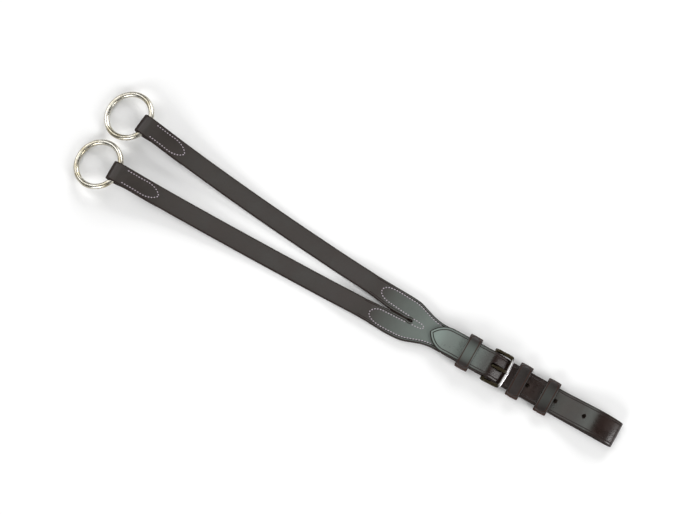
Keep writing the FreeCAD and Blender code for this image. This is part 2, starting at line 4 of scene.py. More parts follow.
import bpy
import numpy as np
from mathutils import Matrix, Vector


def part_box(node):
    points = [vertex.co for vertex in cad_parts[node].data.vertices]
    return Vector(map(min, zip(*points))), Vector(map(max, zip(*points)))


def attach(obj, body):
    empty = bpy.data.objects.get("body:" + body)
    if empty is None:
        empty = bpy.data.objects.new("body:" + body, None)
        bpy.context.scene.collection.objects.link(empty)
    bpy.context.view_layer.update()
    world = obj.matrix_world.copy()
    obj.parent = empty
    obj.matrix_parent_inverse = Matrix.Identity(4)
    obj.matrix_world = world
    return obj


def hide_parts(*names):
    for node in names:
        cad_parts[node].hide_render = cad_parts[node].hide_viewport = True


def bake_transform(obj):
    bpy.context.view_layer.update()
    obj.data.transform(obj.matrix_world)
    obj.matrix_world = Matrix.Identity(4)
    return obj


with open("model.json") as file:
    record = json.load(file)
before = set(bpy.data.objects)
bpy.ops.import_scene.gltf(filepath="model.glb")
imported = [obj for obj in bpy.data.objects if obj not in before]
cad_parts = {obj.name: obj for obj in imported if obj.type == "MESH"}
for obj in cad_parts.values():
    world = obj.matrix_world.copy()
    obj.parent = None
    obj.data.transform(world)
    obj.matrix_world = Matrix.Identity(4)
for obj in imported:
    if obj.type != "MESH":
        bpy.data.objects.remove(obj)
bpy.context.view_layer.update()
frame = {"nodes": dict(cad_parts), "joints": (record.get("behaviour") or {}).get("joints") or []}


# Camera: a long lens two metres off, almost straight above, turned so that the billet loop
# comes to the lower right. It aims at a point between the buckle's hinge bar and the rings.

mm = 0.001
heading = math.radians(-29.5)
looking_down = math.radians(79.4)
away = 2.0
joints = {joint["name"]: joint for joint in frame["joints"]}
bar = Vector(joints["buckle_frame_lift"]["pos_m"])
aim = Vector((bar.x - 165.55 * mm, bar.y + 25.0 * mm, 8.0 * mm))
level = math.cos(looking_down)
look = Vector((math.sin(heading) * level, math.cos(heading) * level, -math.sin(looking_down)))
bpy.ops.object.camera_add(location=aim - look * away,
                          rotation=(math.pi / 2 - looking_down, 0, -heading))
camera = bpy.context.object
camera.data.lens = 107.9
camera.data.sensor_width = 36.0
bpy.context.scene.camera = camera


# Floor and lamps: a plain white table, a small softbox over the stem, a wide one over the arms
# and four low round the sides. The room is dim, so that the metal keeps its dark bands.

bpy.ops.object.select_all(action="DESELECT")
bpy.ops.mesh.primitive_plane_add(size=8)
floor = bpy.context.object
floor.name = "floor"
paper = bpy.data.materials.new("white_paper")
paper.use_nodes = True
paper_look = paper.node_tree.nodes["Principled BSDF"].inputs
paper_look["Base Color"].default_value = (0.9, 0.9, 0.9, 1)
paper_look["Roughness"].default_value = 0.9
paper_look["Specular IOR Level"].default_value = 0.1
floor.data.materials.append(paper)

for label, place, size, watts, tint in (
    ("softbox_over_stem", (-0.10, 0.23, 1.60), (0.34, 0.50), 1.4, (0.9, 1.0, 0.96)),
    ("softbox_over_arms", (-0.95, 0.25, 1.65), (1.4, 1.2), 7.0, (1.0, 0.97, 0.97)),
    ("softbox_left", (-1.9, 0.2, 1.0), (1.0, 1.0), 9, (1, 1, 1)),
    ("softbox_right", (1.9, -0.3, 1.0), (1.0, 1.0), 30, (1, 1, 1)),
    ("softbox_back", (-0.1, 1.9, 1.2), (1.4, 1.0), 26, (1, 1, 1)),
    ("softbox_front", (-0.1, -2.0, 1.2), (1.4, 1.0), 26, (1, 1, 1)),
):
    bpy.ops.object.light_add(type="AREA", location=place)
    lamp = bpy.context.object
    lamp.name = label
    lamp.data.shape = "RECTANGLE"
    lamp.data.size, lamp.data.size_y = size
    lamp.data.energy = watts
    lamp.data.color = tint
    if "over" not in label:
        towards = Vector((0, 0, 0.01)) - Vector(place)
        lamp.rotation_euler = towards.to_track_quat("-Z", "Y").to_euler()
world = bpy.data.worlds.new("dim_room")
world.use_nodes = True
world.node_tree.nodes["Background"].inputs["Color"].default_value = (0.14, 0.14, 0.14, 1)
bpy.context.scene.world = world
bpy.context.scene.view_settings.view_transform = "Standard"


# Fork and stem: one bridle-leather strap, split at the crotch, cut wide over the fork, skived
# and folded round the buckle's hinge bar, and turned back under itself. Its cut edges are
# rounded, dyed and burnished.

stem_half = 12.7
round_edge = 0.9


def from_bar(along, across, up):
    """A place given in mm from the buckle's hinge bar, with its height up from the table."""
    return Vector((bar.x + along * mm, bar.y + across * mm, max(up, 0.0) * mm))


def fair(points, step):
    """Even steps along a smooth line through given points. What a point holds after its
    two coordinates, such as the leather's thickness there, follows along."""
    points = np.array(points, float)
    gaps = np.hypot(*np.diff(points[:, :2], axis=0).T)
    run = np.append(0, np.cumsum(gaps))
    slopes = np.diff(points, axis=0) / gaps[:, None]
    turns = slopes[:-1] * gaps[1:, None] + slopes[1:] * gaps[:-1, None]
    turns /= (gaps[:-1] + gaps[1:])[:, None]
    turns = np.vstack((slopes[:1], turns, slopes[-1:]))
    at = np.linspace(0, run[-1], int(4 * run[-1] / step) + 2)
    side = np.clip(np.searchsorted(run, at, side="right") - 1, 0, len(gaps) - 1)
    gap = gaps[side][:, None]
    share = (at - run[side])[:, None] / gap
    rest = 1 - share
    line = points[side] * (1 + 2 * share) * rest ** 2
    line += points[side + 1] * (1 + 2 * rest) * share ** 2
    line += gap * share * rest * (turns[side] * rest - turns[side + 1] * share)
    length = np.append(0, np.cumsum(np.hypot(*np.diff(line[:, :2], axis=0).T)))
    even = np.linspace(0, length[-1], round(length[-1] / step) + 1)
    ends = np.array((0.08, 0.3, 0.7)) * round_edge
    even = np.sort(np.concatenate((even, ends, length[-1] - ends)))
    return np.column_stack([np.interp(even, length, column) for column in line.T])


def section(low, high, thick, soft_low, soft_high, crown):
    """Once round a strap's section, each point as across, depth under the grain, mm in from the
    edge, and whether it is on the flesh side."""
    corner = np.radians((90, 60, 30, 0))
    face = np.linspace(0, 1, 15)[1:-1]
    wide = high - low
    swell = face ** 2 if soft_low == 0 else (2 * face - 1) ** 2
    left, right = low + soft_low, high - soft_high
    top = [(left + f * (right - left), crown * s, 0) for f, s in zip(face, swell)]
    under = [(right - f * (right - left), thick, 1) for f in face]
    first = crown if soft_low else 0
    ring = [(left - soft_low * math.cos(a), first + soft_low * (1 - math.sin(a)), 0)
            for a in corner[::-1]]
    ring += top
    ring += [(right + soft_high * math.cos(a), crown + soft_high * (1 - math.sin(a)), 0)
             for a in corner]
    ring += [(right + soft_high * math.cos(a), thick - soft_high * (1 - math.sin(a)), 0.5)
             for a in corner[::-1]]
    ring += under
    ring += [(left - soft_low * math.cos(a), thick - soft_low * (1 - math.sin(a)), 0.5)
             for a in corner]
    ring.append(ring[0])
    return [(v, d, min(high - v, v - low if soft_low else wide), f) for v, d, f in ring]


def lay_strap(name, line, edges, place, crown=0.2, closed=False, flat_ends=(False, False),
              inset_at=None, painted_sheen_at=None):
    """A strap along a line given in its side view, with its grain to the line's left. edges gives
    the strap's two sides at a station, and place takes along, across and up to the room. Points
    hold how far in from the edge they are, whether they are flesh side, and how much painted
    sheen they get, a reflection of the lamps painted into the colour."""
    tangent = np.gradient(line[:, :2], axis=0)
    if closed:
        tangent[0] = tangent[-1] = line[1, :2] - line[-2, :2]
    tangent /= np.hypot(*tangent.T)[:, None]
    steps = np.append(0, np.cumsum(np.hypot(*np.diff(line[:, :2], axis=0).T)))
    rings = []
    for index, (a, b, thick) in enumerate(line[:, :3]):
        low, high, soft_low, soft_high = edges(a, index)
        ring = np.array(section(low, high, thick, soft_low, soft_high, crown))
        from_start = math.inf if flat_ends[0] else steps[index]
        from_end = math.inf if flat_ends[1] else steps[-1] - steps[index]
        near_end = min(1.0, from_start / round_edge, from_end / round_edge)
        if not closed and near_end < 1:
            shrink = round_edge * (1 - math.sqrt(1 - (1 - near_end) ** 2))
            shrink = min(shrink, 0.4 * (high - low), 0.45 * thick)
            middle = (low + high) / 2
            ring[:, 0] = middle + (ring[:, 0] - middle) * (1 - 2 * shrink / (high - low))
            ring[:, 1] = thick / 2 + (ring[:, 1] - thick / 2) * (1 - 2 * shrink / thick)
            ring[:, 2] *= near_end
        rings.append((a, b, tangent[index], ring))
    columns = len(rings[0][3]) - 1
    bpy.ops.object.select_all(action="DESELECT")
    bpy.ops.mesh.primitive_grid_add(x_subdivisions=columns, y_subdivisions=len(rings) - 1, size=2)
    strap = bpy.context.object
    strap.name = name
    inset = np.zeros(len(strap.data.vertices))
    flesh = np.zeros(len(strap.data.vertices))
    painted_sheen = np.zeros(len(strap.data.vertices))
    for vertex in strap.data.vertices:
        column = round((vertex.co.x + 1) / 2 * columns)
        row = round((vertex.co.y + 1) / 2 * (len(rings) - 1))
        a, b, (ta, tb), ring = rings[row]
        across, depth, inset[vertex.index], flesh[vertex.index] = ring[column]
        along, up = a + tb * depth, b - ta * depth
        if inset_at:
            inset[vertex.index] = inset_at(along, across, inset[vertex.index])
        if painted_sheen_at:
            painted_sheen[vertex.index] = painted_sheen_at(a, b) * (1 - flesh[vertex.index])
        vertex.co = place(along, across, up)
    for label, values in (("inset", inset), ("flesh", flesh), ("painted_sheen", painted_sheen)):
        strap.data.attributes.new(label, "FLOAT", "POINT").data.foreach_set("value", values)
    return strap


def close_up(strap, material, middle_y=None):
    """Sew a strap's mesh together: its halves along the middle, its seam, and its two ends."""
    bpy.ops.object.select_all(action="DESELECT")
    strap.select_set(True)
    bpy.context.view_layer.objects.active = strap
    if middle_y is not None:
        bpy.ops.object.mode_set(mode="EDIT")
        bpy.ops.mesh.select_mode(type="FACE")
        bpy.ops.mesh.select_all(action="DESELECT")
        bpy.ops.object.mode_set(mode="OBJECT")
        for face in strap.data.polygons:
            offsets = [strap.data.vertices[v].co.y - middle_y for v in face.vertices]
            face.select = max(map(abs, offsets)) < 1e-6
        bpy.ops.object.mode_set(mode="EDIT")
        bpy.ops.mesh.delete(type="FACE")
    else:
        bpy.ops.object.mode_set(mode="EDIT")
    bpy.ops.mesh.select_mode(type="VERT")
    bpy.ops.mesh.select_all(action="SELECT")
    bpy.ops.mesh.remove_doubles(threshold=2e-6)
    bpy.ops.mesh.select_all(action="DESELECT")
    bpy.ops.mesh.select_non_manifold(extend=False)
    bpy.ops.mesh.fill_holes(sides=0)
    bpy.ops.mesh.select_all(action="SELECT")
    bpy.ops.mesh.normals_make_consistent(inside=False)
    bpy.ops.object.mode_set(mode="OBJECT")
    bpy.ops.object.shade_smooth_by_angle(angle=math.radians(45))
    strap.data.materials.clear()
    strap.data.materials.append(material)


def join(pieces, name):
    bpy.ops.object.select_all(action="DESELECT")
    for piece in pieces:
        piece.select_set(True)
    bpy.context.view_layer.objects.active = pieces[0]
    if len(pieces) > 1:
        bpy.ops.object.join()
    bpy.context.object.name = name
    return bpy.context.object


def dye(code):
    """An sRGB colour such as "4a3b2c", as the linear colour that a shader takes."""
    parts = [int(code[i:i + 2], 16) / 255 for i in (0, 2, 4)]
    return (*(p / 12.92 if p <= 0.04045 else ((p + 0.055) / 1.055) ** 2.4 for p in parts), 1.0)


def node(tree, kind, inputs=None, **settings):
    """A node with its settings, and its inputs as values or as other nodes' outputs."""
    made = tree.nodes.new("ShaderNode" + kind)
    for name, value in settings.items():
        setattr(made, name, value)
    for name, value in (inputs or {}).items():
        if isinstance(value, bpy.types.NodeSocket):
            tree.links.new(value, made.inputs[name])
        else:
            made.inputs[name].default_value = value
    return made


def bridle_leather(name, grain, deep, edge, crease_at, shine, crease_depth=0.3):
    """Drum-dyed, waxed bridle leather: fine pores, soft wrinkles, cloudy dye, a painted grey-green
    sheen standing in for the lamps' reflection where a point attribute asks for it, a pressed
    line crease_at mm in from each edge, dark burnished edges and a fuzzy paler flesh side."""
    material = bpy.data.materials.new(name)
    material.use_nodes = True
    tree = material.node_tree
    tree.nodes.clear()
    place = node(tree, "TexCoord").outputs["Object"]
    inset = node(tree, "Attribute", attribute_name="inset").outputs["Fac"]
    flesh = node(tree, "Attribute", attribute_name="flesh").outputs["Fac"]
    pores = node(tree, "TexVoronoi", {"Vector": place, "Scale": 1 / (0.9 * mm)},
                 feature="SMOOTH_F1").outputs["Distance"]
    wrinkles = node(tree, "TexNoise", {"Vector": place, "Scale": 1 / (3.5 * mm), "Detail": 6,
                                       "Roughness": 0.62, "Distortion": 0.4}).outputs["Fac"]
    clouds = node(tree, "TexNoise", {"Vector": place, "Scale": 1 / (28 * mm),
                                     "Detail": 4}).outputs["Fac"]
    cloudy = node(tree, "MapRange", {"Value": clouds, "From Min": 0.35, "From Max": 0.65}).outputs[0]
    mottle = node(tree, "MapRange", {"Value": wrinkles, "From Min": 0.3, "From Max": 0.7,
                                     "To Min": -0.25, "To Max": 0.25}).outputs[0]
    blotch = node(tree, "Math", {0: cloudy, 1: mottle}, operation="ADD", use_clamp=True).outputs[0]
    colour = node(tree, "Mix", {0: blotch, 6: dye(deep), 7: dye(grain)}, data_type="RGBA").outputs[2]
    # Painted sheen: the grey-green colour 74807a mixed in as a reflection of the lamps, painted on the
    # fork, stem, billet tip and keeper tops.
    painted_sheen = node(tree, "Attribute", attribute_name="painted_sheen").outputs["Fac"]
    patchy = node(tree, "MapRange", {"Value": clouds, "From Min": 0.3, "From Max": 0.7,
                                     "To Min": 0.75, "To Max": 1.15}).outputs[0]
    painted_sheen = node(tree, "Math", {0: painted_sheen, 1: patchy}, operation="MULTIPLY", use_clamp=True).outputs[0]
    colour = node(tree, "Mix", {0: painted_sheen, 6: colour, 7: dye("74807a")}, data_type="RGBA").outputs[2]
    rim = node(tree, "MapRange", {"Value": inset, "From Min": 0.5, "From Max": 1.6, "To Min": 1,
                                  "To Max": 0}, interpolation_type="SMOOTHSTEP").outputs[0]
    colour = node(tree, "Mix", {0: rim, 6: colour, 7: dye(edge)}, data_type="RGBA").outputs[2]
    off_line = node(tree, "Math", {0: inset, 1: crease_at}, operation="SUBTRACT").outputs[0]
    off_line = node(tree, "Math", {0: off_line}, operation="ABSOLUTE").outputs[0]
    crease = node(tree, "MapRange", {"Value": off_line, "From Min": 0.1, "From Max": 0.75,
                                     "To Min": 1, "To Max": 0},
                  interpolation_type="SMOOTHSTEP").outputs[0]
    grain_side = node(tree, "Math", {0: 1.0, 1: flesh}, operation="SUBTRACT",
                      use_clamp=True).outputs[0]
    crease = node(tree, "Math", {0: crease, 1: grain_side}, operation="MULTIPLY").outputs[0]
    colour = node(tree, "Mix", {0: crease, 6: colour, 7: dye(edge)}, data_type="RGBA").outputs[2]
    raw = node(tree, "MapRange", {"Value": flesh, "From Min": 0.6, "From Max": 1.0}).outputs[0]
    colour = node(tree, "Mix", {0: raw, 6: colour, 7: dye("4b3c31")}, data_type="RGBA").outputs[2]
    matt = node(tree, "MapRange", {"Value": blotch, "To Min": shine - 0.05,
                                   "To Max": shine + 0.06}).outputs[0]
    dull = node(tree, "Math", {0: rim, 1: crease}, operation="MAXIMUM").outputs[0]
    matt = node(tree, "Mix", {0: dull, 2: matt, 3: 0.62}, data_type="FLOAT").outputs[0]
    matt = node(tree, "Mix", {0: raw, 2: matt, 3: 0.85}, data_type="FLOAT").outputs[0]
    height = node(tree, "Mix", {0: 0.6, 2: pores, 3: wrinkles}, data_type="FLOAT").outputs[0]
    bump = node(tree, "Bump", {"Height": height, "Strength": 0.4, "Distance": 0.25 * mm}).outputs[0]
    groove = node(tree, "Math", {0: 1.0, 1: crease}, operation="SUBTRACT").outputs[0]
    bump = node(tree, "Bump", {"Height": groove, "Strength": 1.0, "Distance": crease_depth * mm,
                               "Normal": bump}).outputs[0]
    gloss = node(tree, "MapRange", {"Value": dull, "To Min": 0.5, "To Max": 0.22}).outputs[0]
    shader = node(tree, "BsdfPrincipled", {"Base Color": colour, "Roughness": matt, "IOR": 1.5,
                                           "Specular IOR Level": gloss, "Normal": bump})
    node(tree, "OutputMaterial", {"Surface": shader.outputs[0]})
    return material


strap_leather = bridle_leather("waxed_bridle_leather", "2b231f", "231b17", "1d100a", 2.2, 0.36)

# Stations of the fork and stem, from an arm's root along the grain, round the fold and back, as
# along, up and thickness.
leg_end = 132.95
crotch = -83.3
fold_slot = -8.3
fork_side = [(-leg_end, 6.5, 3.5), (-120, 6.5, 3.5), (-107, 6.5, 3.5), (-95, 6.52, 3.5),
             (-82, 7.15, 3.5), (-65, 8.05, 3.5), (-52, 8.75, 3.5), (-44.5, 9.9, 3.5),
             (-37, 10.95, 3.5), (-27, 11, 3.5), (-15, 11.1, 3.5), (-7, 12.4, 2.9), (0, 13.9, 2.2),
             (3.04, 12.64, 2.2), (4.3, 9.6, 2.2), (3.04, 6.56, 2.2), (0, 5.3, 2.2),
             (-10, 5.3, 2.2), (-25, 5.3, 2.2), (-38, 5.4, 1.9)]
fork_line = fair(fork_side, 1.5)
flare = [(-95, 21.5), (-84.5, 20.4), (-75, 17.3), (-66, 14.3), (-57, 12.75), (-48, stem_half),
         (6, stem_half)]
outlines = {
    "far": [(-leg_end, 22.65), (-116, 22.1), (-103, 21.75)] + flare,
    "near": [(-leg_end, 20.87), (-116, 21.2), (-103, 21.6)] + flare,
}
slits = {
    "far": [(-leg_end, 3.564), (-120, 1.85), (-107, 0.4), (-97, 0.25), (-89, 0.2),
            (-86.5, 0.75), (-84.6, 0.6), (crotch, 0.0)],
    "near": [(-leg_end, 1.870), (-120, 1.05), (-107, 0.32), (-97, 0.2), (-89, 0.2),
             (-86.5, 0.75), (-84.6, 0.6), (crotch, 0.0)],
}
tongue_gap = 2.7


def read_off(points):
    """How far across a smooth outline is at a place along it."""
    line = fair(points, 1.0)
    return lambda x: float(np.interp(x, line[:, 0], line[:, 1]))



def fork_painted_sheen(along, up):
    """Painted sheen on the fork, a reflection of the lamp over the stem painted into the colour,
    strongest towards the buckle.
    """
    return float(np.interp(along, (-125, -95, -70, -50), (0.0, 0.38, 0.56, 0.72)))


halves = []
for side, sign in (("far", 1), ("near", -1)):
    outer = read_off(outlines[side])
    inner = read_off(slits[side])

    def fork_edges(along, index, outer=outer, inner=inner):
        low = inner(along) if along < crotch else 0.0
        if along > fold_slot:
            low = tongue_gap
        return low, outer(along), min(round_edge, 1.2 * low), round_edge

    def fork_place(along, across, up, sign=sign):
        return from_bar(along, sign * across, up)

    halves.append(lay_strap(f"fork_{side}_half", fork_line, fork_edges, fork_place,
                            flat_ends=(True, False), painted_sheen_at=fork_painted_sheen))
fork = join(halves, "fork_and_stem")
close_up(fork, strap_leather, middle_y=bar.y)
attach(fork, "stem")
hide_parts("fork_strap")


# Lining: a second layer sewn under the fork, with a rounded tab under the root of each arm.
# Same leather, grain side down.

tab_root = -106
lining_side = [(-46.3, 2.3, 3), (-51, 2.2, 3), (-60, 1.78, 3), (-74, 1.05, 3), (-88, 0.32, 3),
               (-97, 0, 3), (tab_root, 0, 3), (-116, 0, 3), (-127, 0, 3)]
lining_line = fair(lining_side, 1.2)
tab_start = -118
tab_reach = 9.0
tab_shapes = {"far": (12.4, 9.4), "near": (11.4, 9.6)}
halves = []
for side, sign in (("far", 1), ("near", -1)):
    outer = read_off(outlines[side])
    inner = read_off(slits[side])
    tab_middle, tab_half = tab_shapes[side]

    def lining_edges(along, index, outer=outer, inner=inner, middle=tab_middle, half=tab_half):
        low = inner(along) if along < crotch else 0.0
        high = outer(along)
        if along < tab_root:
            share = (along - tab_root) / (tab_start - tab_root)
            narrow = math.sqrt(max(0.0, 1 - (max(0.0, tab_start - along) / tab_reach) ** 2))
            share = min(share, 1.0)
            low += (middle - half * narrow - low) * share
            high += (middle + half * narrow - high) * share
            high = max(high, low + 0.3)
        soft = min(round_edge, 0.45 * (high - low))
        return low, high, min(soft, 1.2 * low), soft

    def lining_place(along, across, up, sign=sign):
        return from_bar(along, sign * across, up)

    halves.append(lay_strap(f"lining_{side}_half", lining_line, lining_edges, lining_place,
                            crown=0.0))
lining = join(halves, "fork_lining_leather")
close_up(lining, strap_leather, middle_y=bar.y)
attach(lining, "stem")
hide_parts("fork_lining")


# Arms: two 19 mm straps that go on from the fork's legs. Each rises to its ring, is turned
# under round it and sewn back on itself with the tab skived thin.

no_crease = 99
arm_hide = bridle_leather("waxed_arm_leather", "2b231f", "231b17", "1d100a", no_crease, 0.36)
arm_length = 264.5
arm_half = 9.5
eye_height = 16.2
rise_length = 190.0
arm_leather = 3.5
arm_foot = 2.05


eye_swell = 3.7
swell_length = 34.0


def arm_top(short):
    """Height of an arm's grain a distance short of its eye."""
    rise = eye_height * max(0.0, 1 - short / rise_length) ** 2
    return rise + arm_leather + eye_swell * math.exp(-(short / swell_length) ** 2)


eye_points = [(1.2, 7.05), (-5.09, 5.09), (-7.2, 0), (-5.09, -5.09), (0.8, -7.15)]
arm_side = [(-arm_length + short, arm_top(short) - arm_leather - 0.2 - thick, thick)
            for short, thick in ((49, 0.8), (44, 2.6), (36, 3.0), (26, 3.0), (15, 3.0))]
arm_side += [(-arm_length + x, eye_height + z, 2.7) for x, z in reversed(eye_points)]
arm_side += [(-arm_length + short, arm_top(short), arm_leather - 0.8 * math.exp(-short / 5))
             for short in (5, 10, 16, 23, 32, 45, 60, 80, 100, 125, 150, 172, 188)]
arm_side += [(-66, 3.5, 3.5), (-52, 3.5, 3.5), (-40, 3.6, 3.5), (-20, 5.0, 3.5),
             (-6, 6.32, 3.5), (arm_foot, 6.5, 3.5)]
arm_line = fair(arm_side, 2.2)
arms = {}
for side, sign, splay, bow in (("near", -1, 0.8, 0.0), ("far", 1, -5.4, 1.3)):
    hinge = Vector(joints[f"{side}_arm_flex"]["pos_m"])
    turn = math.radians(splay)

    def arm_place(along, across, up, hinge=hinge, turn=turn, bow=bow):
        square_cut = max(0.0, 1 + (along - arm_foot) / 30) ** 2
        along += (across * math.tan(turn) + arm_foot * (1 / math.cos(turn) - 1)) * square_cut
        across -= bow * math.sin(math.pi * min(1.0, max(0.0, -along) / arm_length))
        return Vector((hinge.x + (along * math.cos(turn) - across * math.sin(turn)) * mm,
                       hinge.y + (along * math.sin(turn) + across * math.cos(turn)) * mm,
                       max(up, 0.0) * mm))

    def arm_edges(along, index):
        return -arm_half, arm_half, round_edge, round_edge

    def arm_inset_and_fold_shade(along, across, inset):
        """Painted shade: the end of the fold gets the dark, dull edge colour where it turns down away
        from the light.
        """
        return min(inset, max(0.0, 0.35 * (along + arm_length + 6.5)))

    arms[side] = arm_place
    arm = lay_strap(f"{side}_arm_leather", arm_line, arm_edges, arm_place,
                    flat_ends=(False, True), inset_at=arm_inset_and_fold_shade)
    close_up(arm, arm_hide)
    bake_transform(arm)
    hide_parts(f"{side}_arm_strap")


# Rings: drawn stainless steel wire, bent round, butt welded and polished. A ring turns in the
# fold at the end of its arm.

ring_radius = 22.75
ring_wire = 2.75
ring_lean = math.radians(-17)


def polished_metal(name, colour, rough, tarnish_and_dark_reflection, painted_reflections=False):
    """Polished metal with faint wiping marks and patches of tarnish. A piece with painted
    reflections is bright only where its inset attribute is high, as a painted highlight, and
    elsewhere takes the dark colour as painted dark reflections."""
    material = bpy.data.materials.new(name)
    material.use_nodes = True
    tree = material.node_tree
    tree.nodes.clear()
    place = node(tree, "TexCoord").outputs["Object"]
    wiping = node(tree, "TexNoise", {"Vector": place, "Scale": 1 / (1.5 * mm),
                                     "Detail": 3}).outputs["Fac"]
    tarnish_and_reflection_mask = node(tree, "TexNoise", {"Vector": place, "Scale": 1 / (12 * mm),
                                   "Detail": 4}).outputs["Fac"]
    tarnish_and_reflection_mask = node(tree, "MapRange", {"Value": tarnish_and_reflection_mask, "From Min": 0.42, "From Max": 0.68}).outputs[0]
    # Painted reflections: the dark colour all over as painted dark reflections, bright only where the
    # inset attribute marks a painted highlight.
    if painted_reflections:
        painted_highlight = node(tree, "Attribute", attribute_name="inset").outputs["Fac"]
        tarnish_and_reflection_mask = node(tree, "Math", {0: tarnish_and_reflection_mask, 1: 0.25}, operation="MULTIPLY").outputs[0]
        tarnish_and_reflection_mask = node(tree, "Math", {0: tarnish_and_reflection_mask, 1: painted_highlight}, operation="SUBTRACT").outputs[0]
        tarnish_and_reflection_mask = node(tree, "Math", {0: tarnish_and_reflection_mask, 1: 0.97}, operation="ADD", use_clamp=True).outputs[0]
    tint = node(tree, "Mix", {0: tarnish_and_reflection_mask, 6: dye(colour), 7: dye(tarnish_and_dark_reflection)}, data_type="RGBA").outputs[2]
    matt = node(tree, "MapRange", {"Value": wiping, "From Min": 0.3, "From Max": 0.7,
                                   "To Min": rough - 0.04, "To Max": rough + 0.06}).outputs[0]
    bump = node(tree, "Bump", {"Height": wiping, "Strength": 0.02, "Distance": 0.1 * mm}).outputs[0]
    shader = node(tree, "BsdfPrincipled", {"Base Color": tint, "Metallic": 1.0, "Roughness": matt,
                                           "Normal": bump})
    node(tree, "OutputMaterial", {"Surface": shader.outputs[0]})
    return material


stainless_steel = polished_metal("polished_stainless_steel", "d6d3c9", 0.25, "a89f86")
for side, splay in (("near", 0.8), ("far", -5.4)):
    low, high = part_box(f"{side}_ring")
    bpy.ops.object.select_all(action="DESELECT")
    bpy.ops.mesh.primitive_torus_add(location=(low + high) / 2,
                                     rotation=(0, ring_lean, math.radians(splay)),
                                     major_segments=128, minor_segments=24,
                                     major_radius=ring_radius * mm, minor_radius=ring_wire * mm)
    ring = bpy.context.object
    ring.name = f"{side}_rein_ring"
    bpy.ops.object.transform_apply(location=True, rotation=True, scale=True)
    bpy.ops.object.shade_smooth()
    ring.data.materials.append(stainless_steel)
    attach(ring, f"{side}_ring")
    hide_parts(f"{side}_ring")


# Billet: a strap sewn under the stem, folded into a loop for the girth, and brought back up
# through the buckle to a pointed tip. It has a tongue slot and punched holes.

billet_leather = bridle_leather("waxed_billet_leather", "281a15", "1d110d", "1a0e09", 2.9, 0.31)
tip = -64.5
tip_shoulder = -47.5
tip_round = 23.54
tip_centre = (-43.43, -10.48)
billet_thick = 3
billet_side = [(tip, 11.0), (-57, 11.4), (-50, 11.85), (-44, 12.9), (-37.5, 13.95), (-30, 14.1),
               (-22, 14.3), (-14, 14.6), (-7, 15.6), (-1.6, 16.7), (1.5, 16.7), (4.5, 15.7),
               (9, 13.7), (13, 11.75), (16.4, 10.25), (20, 9.9), (26, 9.6), (34, 9.15),
               (42, 8.75), (50, 8.5), (62, 8.45), (72, 8.5), (79, 9.1), (88, 10.8), (97, 12.6),
               (105, 14.2), (111, 15.2), (116, 15.2), (121, 14.65), (126, 13.6), (130.5, 12.2),
               (134.6, 10.0), (136.5, 7.0), (135.2, 3.7), (131.8, 2.3), (126, 2.3), (115, 2.3),
               (100, 2.3), (50, 2.3), (0, 2.3), (-46, 2.3)]
billet_line = fair([(*point, billet_thick) for point in billet_side], 1.6)
turned = int(np.argmax(billet_line[:, 0]))


def billet_edges(along, index):
    half = stem_half
    if index < turned and along < tip_shoulder:
        half = tip_centre[1] + math.sqrt(max(0.0, tip_round ** 2 - (along - tip_centre[0]) ** 2))
        half = max(half, 0.35)
    soft = min(round_edge, 0.8 * half)
    return -half, half, soft, soft


def billet_inset(along, across, inset):
    """Near the tip, the distance in from its rounded sides."""
    if along > tip_shoulder or inset <= 0:
        return inset
    return max(0.0, tip_round - math.hypot(along - tip_centre[0], abs(across) - tip_centre[1]))


# Painted sheen along the billet's upper run, as along and amount: a reflection of the lamps painted
# into the colour, brightest at the tip.
billet_painted_sheen = np.array([(tip, 0.92), (-56, 1.0), (-46, 0.8), (-34, 0.55), (-12, 0.46),
                         (-6, 0.28), (2, 0.0), (66, 0.0), (70, 0.14), (85, 0.08), (95, 0.1),
                         (106, 0.26), (112, 0.05), (116, 0.0), (136, 0.0)])


def painted_sheen_on_billet(along, up):
    """Painted sheen on the billet's upper run, none from the buckle to the loop keeper."""
    return float(np.interp(along, *billet_painted_sheen.T)) if up > 4 else 0.0


billet = lay_strap("billet_leather", billet_line, billet_edges, from_bar,
                   inset_at=billet_inset, painted_sheen_at=painted_sheen_on_billet)
close_up(billet, billet_leather)
punches = [(x, 1.9, 0.0) for x in (-19.5, 40.5, 70.5, 100.5)] + [(3.3, 2.3, 7.9)]
for along, radius, stretch in punches:
    bpy.ops.object.select_all(action="DESELECT")
    bpy.ops.mesh.primitive_cylinder_add(vertices=32, radius=radius * mm, depth=20 * mm,
                                        location=from_bar(along, 0, 15.4))
    punch = bpy.context.object
    bpy.ops.object.transform_apply(location=True, rotation=True, scale=True)
    for vertex in punch.data.vertices:
        if vertex.co.x > from_bar(along, 0, 0).x + 1e-7:
            vertex.co.x += stretch * mm
    bpy.context.view_layer.objects.active = billet
    cut = billet.modifiers.new("punched_hole", "BOOLEAN")
    cut.object = punch
    cut.operation = "DIFFERENCE"
    cut.solver = "EXACT"
    bpy.ops.object.modifier_apply(modifier=cut.name)
    bpy.data.objects.remove(punch)
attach(billet, "stem")
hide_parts("billet_strap")


# Buckle: a cast frame with bowed front bar, a straight hinge bar through the leather's fold,
# and a flat tongue curled round the hinge bar. Nickel plated, with painted dark reflections
# all over but for painted highlights on the front bar and the tongue's tip.

# Nickel plate with dark reflections and a front-bar highlight painted into its colour.
nickel_plate = polished_metal("nickel_plate_painted_reflections", "e2dee0", 0.27, "2b261c",
                             painted_reflections=True)
frame_tilt = math.atan(3.0 / 18.5)
bar_up = bar.z / mm


def frame_place(along, up, across):
    return from_bar(along * math.cos(frame_tilt) - up * math.sin(frame_tilt), across,
                    bar_up + along * math.sin(frame_tilt) + up * math.cos(frame_tilt))


